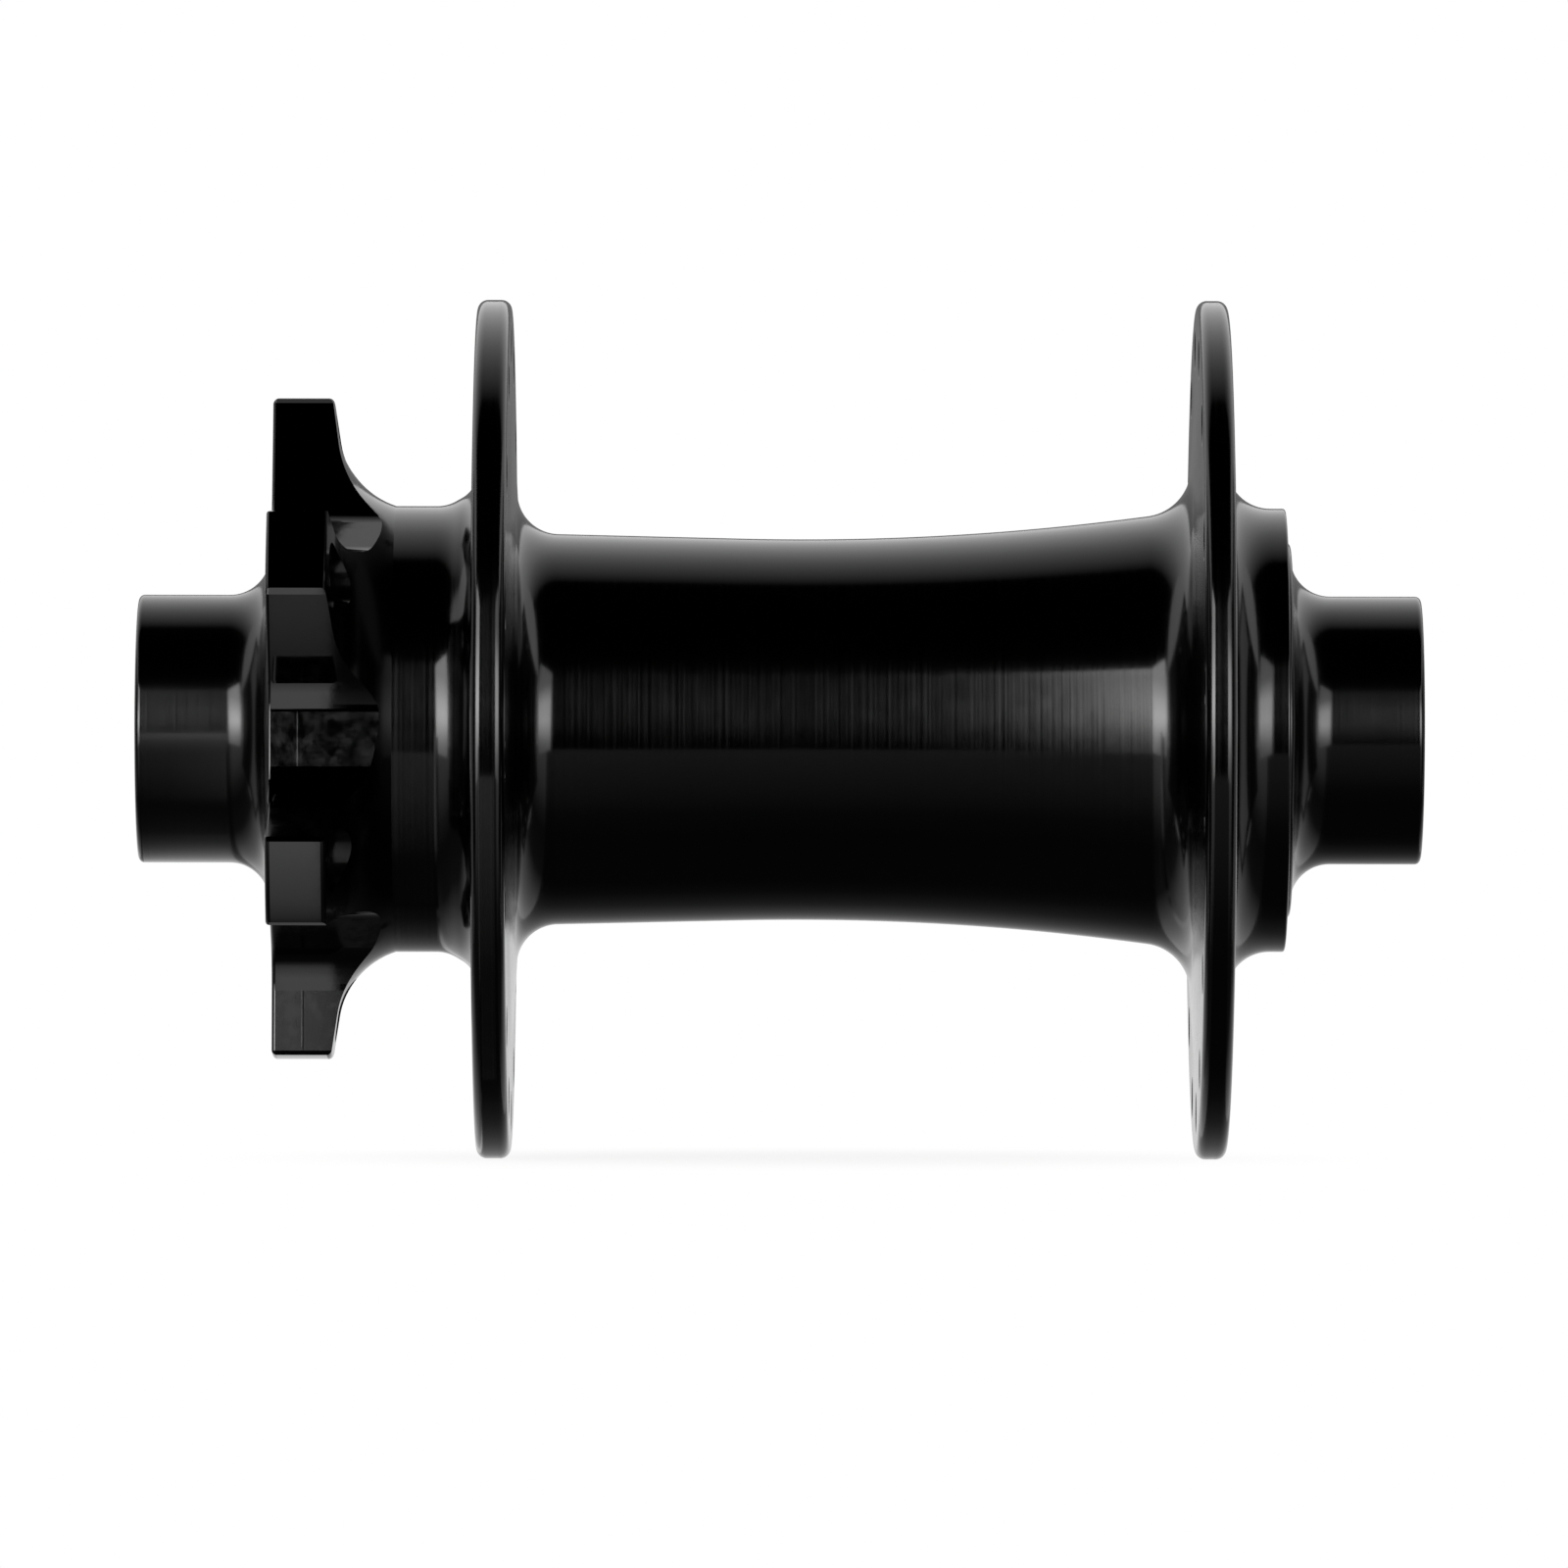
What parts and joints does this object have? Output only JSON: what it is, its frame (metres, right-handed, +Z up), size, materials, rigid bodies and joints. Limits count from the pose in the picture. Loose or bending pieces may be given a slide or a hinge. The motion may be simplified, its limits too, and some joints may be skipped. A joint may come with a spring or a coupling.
{
  "type": "disc brake front hub",
  "caption": "Bicycle front hub: a waisted flanged barrel with a tabbed brake rotor mount, spinning on sealed bearings round a hollow thru-axle tube with plug-in end caps.",
  "frame": {"origin": "on the axle's centre line, midway between the two faces that the fork clamps", "axes": "+Y along the axle towards the brake rotor, +Z up, +X across the axle"},
  "size_m": [0.067, 0.1, 0.067],
  "materials": {
    "anodised_shell": "turned, polished and black anodised",
    "anodised_axle": "turned and black anodised, satin",
    "anodised_cap": "turned and black anodised, fine turning lines",
    "oring_rubber": "smooth nitrile",
    "seal_rubber": "matt nitrile",
    "bearing_steel": "ground",
    "ball_steel": "polished",
    "cage_nylon": "natural nylon",
    "bearing_seal_rubber": "moulded nitrile"
  },
  "bodies": {
    "axle_set": {"axle_tube": "anodised_axle", "disc_side_end_cap": "anodised_cap", "disc_side_cap_oring": "oring_rubber", "disc_side_dust_seal": "seal_rubber", "disc_side_bearing_inner_ring": "bearing_steel", "plain_side_end_cap": "anodised_cap", "plain_side_cap_oring": "oring_rubber", "plain_side_dust_seal": "seal_rubber", "plain_side_bearing_inner_ring": "bearing_steel"},
    "hub_body": {"hub_shell": "anodised_shell", "disc_side_bearing_outer_ring": "bearing_steel", "disc_side_bearing_outboard_seal": "bearing_seal_rubber", "disc_side_bearing_inboard_seal": "bearing_seal_rubber", "plain_side_bearing_outer_ring": "bearing_steel", "plain_side_bearing_outboard_seal": "bearing_seal_rubber", "plain_side_bearing_inboard_seal": "bearing_seal_rubber"},
    "disc_side_ball_set": {"disc_side_bearing_balls": "ball_steel", "disc_side_bearing_cage": "cage_nylon"},
    "plain_side_ball_set": {"plain_side_bearing_balls": "ball_steel", "plain_side_bearing_cage": "cage_nylon"}
  },
  "joints": [
    {"name": "hub_spin", "type": "hinge", "parent": "axle_set", "child": "hub_body", "pos_m": [0, 0, 0], "axis": [0, 1, 0], "continuous": true},
    {"name": "disc_side_balls_orbit", "type": "hinge", "parent": "axle_set", "child": "disc_side_ball_set", "pos_m": [0, 0.0341, 0], "axis": [0, 1, 0], "continuous": true},
    {"name": "plain_side_balls_orbit", "type": "hinge", "parent": "axle_set", "child": "plain_side_ball_set", "pos_m": [0, -0.0341, 0], "axis": [0, 1, 0], "continuous": true}
  ],
  "couplings": [
    {"joint": "disc_side_balls_orbit", "follows": "hub_spin", "ratio": 0.58445},
    {"joint": "plain_side_balls_orbit", "follows": "hub_spin", "ratio": 0.58445}
  ]
}
